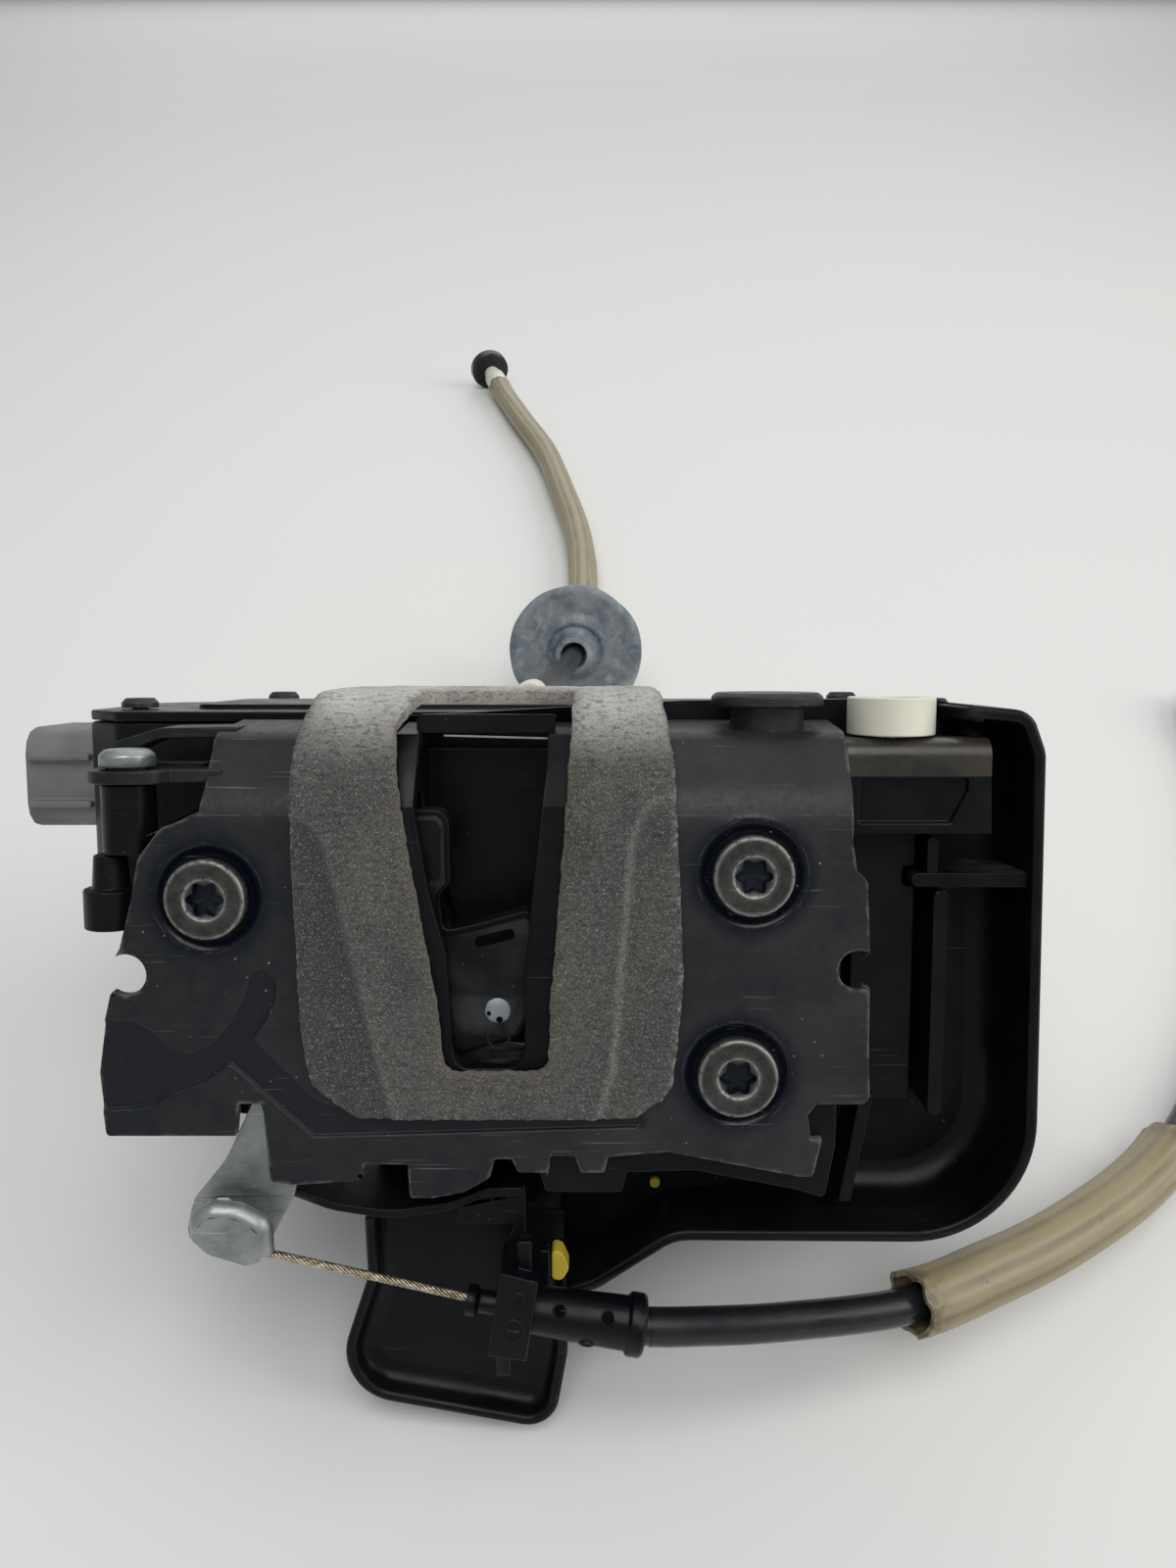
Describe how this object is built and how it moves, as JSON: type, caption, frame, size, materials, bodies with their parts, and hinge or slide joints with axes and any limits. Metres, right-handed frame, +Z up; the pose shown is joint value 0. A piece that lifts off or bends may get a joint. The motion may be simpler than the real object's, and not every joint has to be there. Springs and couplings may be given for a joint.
{
  "type": "car door latch",
  "caption": "Car side-door latch with a rotary claw and pawl behind a flanged face plate, a cable release lever, a sealed motor housing and two sleeved cables.",
  "frame": {"origin": "centre of the base of the latch as it stands on a table, leaning 30 degrees back, without its free cables", "axes": "+X along the latch's width, to the right seen from the claw side; +Y away from the claw side along the table; +Z up from the table"},
  "size_m": [0.3168, 0.5979, 0.1163],
  "materials": {
    "plate_steel": "dark charcoal satin paint, worn at the edges",
    "bright_steel": "plated steel",
    "zinc": "matte zinc plating",
    "screw_steel": "brown-grey oiled steel",
    "black_plastic": "fine textured black",
    "grey_plastic": "light grey",
    "foam": "speckled warm grey felted foam",
    "white_plastic": "off-white moulded plastic",
    "cable_jacket": "smooth black cable jacket",
    "sleeve_tan": "translucent tan sleeve, grimy",
    "grommet_rubber": "blue-grey moulded rubber",
    "yellow_plastic": "yellow moulded plastic",
    "wire_strand": "twisted strand",
    "board_green": "circuit board",
    "brass": "worn brass"
  },
  "bodies": {
    "latch_body": {"back_plate": "plate_steel", "cable_bracket": "black_plastic", "cable_grommet": "grommet_rubber", "circuit_board": "board_green", "claw_pin": "bright_steel", "claw_spring": "bright_steel", "connector_shell": "grey_plastic", "connector_terminals": "brass", "corner_cup": "black_plastic", "corner_rivet": "zinc", "corner_sleeve": "black_plastic", "cover_screw_1": "screw_steel", "cover_screw_2": "screw_steel", "cover_screw_3": "screw_steel", "cover_screw_4": "screw_steel", "cover_screw_5": "screw_steel", "disc_stud": "plate_steel", "face_plate": "plate_steel", "ferrule_clip": "black_plastic", "foam_gasket": "foam", "housing_cover": "black_plastic", "inner_cable_conduit": "cable_jacket", "inner_cable_end_cap": "cable_jacket", "inner_cable_end_fitting": "white_plastic", "inner_cable_ferrule": "white_plastic", "inner_cable_sleeve": "sleeve_tan", "key_lock_housing": "black_plastic", "lever_pin": "bright_steel", "lock_lever_pin": "bright_steel", "lock_motor": "bright_steel", "lower_case": "black_plastic", "main_housing": "black_plastic", "mechanism_case": "black_plastic", "micro_switch": "black_plastic", "mount_screw_left": "screw_steel", "mount_screw_lower": "screw_steel", "mount_screw_upper": "screw_steel", "mouth_liner": "black_plastic", "outer_cable_conduit_a": "cable_jacket", "outer_cable_conduit_b": "cable_jacket", "outer_cable_end_fitting": "cable_jacket", "outer_cable_ferrule": "black_plastic", "outer_cable_sleeve": "sleeve_tan", "pawl_pin": "bright_steel", "pawl_spring": "bright_steel", "side_tray": "black_plastic", "wheel_pin": "bright_steel", "yellow_plug": "yellow_plastic", "yellow_stop": "yellow_plastic"},
    "claw_body": {"claw": "black_plastic", "claw_cover": "black_plastic"},
    "pawl_body": {"pawl": "bright_steel"},
    "release_lever_body": {"release_lever": "zinc"},
    "cable_core": {"cable_wire": "wire_strand", "cable_nipple": "zinc"},
    "key_bush_body": {"key_bush": "white_plastic"},
    "wheel_body": {"worm_wheel": "white_plastic"},
    "worm_body": {"motor_worm": "white_plastic"},
    "lock_lever_body": {"lock_lever": "black_plastic"}
  },
  "joints": [
    {"name": "claw_turn", "type": "hinge", "parent": "latch_body", "child": "claw_body", "pos_m": [-0.0187, -0.02513, 0.07776], "axis": [0, 0.866, -0.5], "range_deg": [0, 50], "stiffness_Nm_per_rad": 0.06, "springref_deg": -20.05},
    {"name": "pawl_turn", "type": "hinge", "parent": "latch_body", "child": "pawl_body", "pos_m": [0.0163, -0.03206, 0.05636], "axis": [0, 0.866, -0.5], "range_deg": [0, 8], "stiffness_Nm_per_rad": 0.05, "springref_deg": -20.05},
    {"name": "release_lever_turn", "type": "hinge", "parent": "latch_body", "child": "release_lever_body", "pos_m": [-0.0335, -0.0388, 0.06348], "axis": [0, -0.866, 0.5], "range_deg": [0, 16], "stiffness_Nm_per_rad": 0.03, "springref_deg": -20.05},
    {"name": "cable_wire_slide", "type": "slide", "parent": "latch_body", "child": "cable_core", "axis": [0.9732, -0.115, -0.1992], "range_m": [0, 0.0073]},
    {"name": "key_turn", "type": "hinge", "parent": "latch_body", "child": "key_bush_body", "pos_m": [0.067, 0.0021, 0.10592], "axis": [0, 0.5, 0.866], "range_deg": [-45, 45], "stiffness_Nm_per_rad": 0.03},
    {"name": "wheel_spin", "type": "hinge", "parent": "latch_body", "child": "wheel_body", "pos_m": [0.0303, 0.01516, 0.04295], "axis": [0, 0.5, 0.866], "continuous": true},
    {"name": "worm_spin", "type": "hinge", "parent": "latch_body", "child": "worm_body", "pos_m": [0.0003, -0.00147, 0.05255], "axis": [1, 0, 0], "continuous": true},
    {"name": "lock_lever_turn", "type": "hinge", "parent": "latch_body", "child": "lock_lever_body", "pos_m": [0.0203, 0.03455, 0.05254], "axis": [0, 0.5, 0.866], "range_deg": [-20, 20]}
  ],
  "couplings": [
    {"joint": "cable_wire_slide", "follows": "release_lever_turn", "m_per_rad": 0.026},
    {"joint": "worm_spin", "follows": "wheel_spin", "ratio": -30}
  ]
}
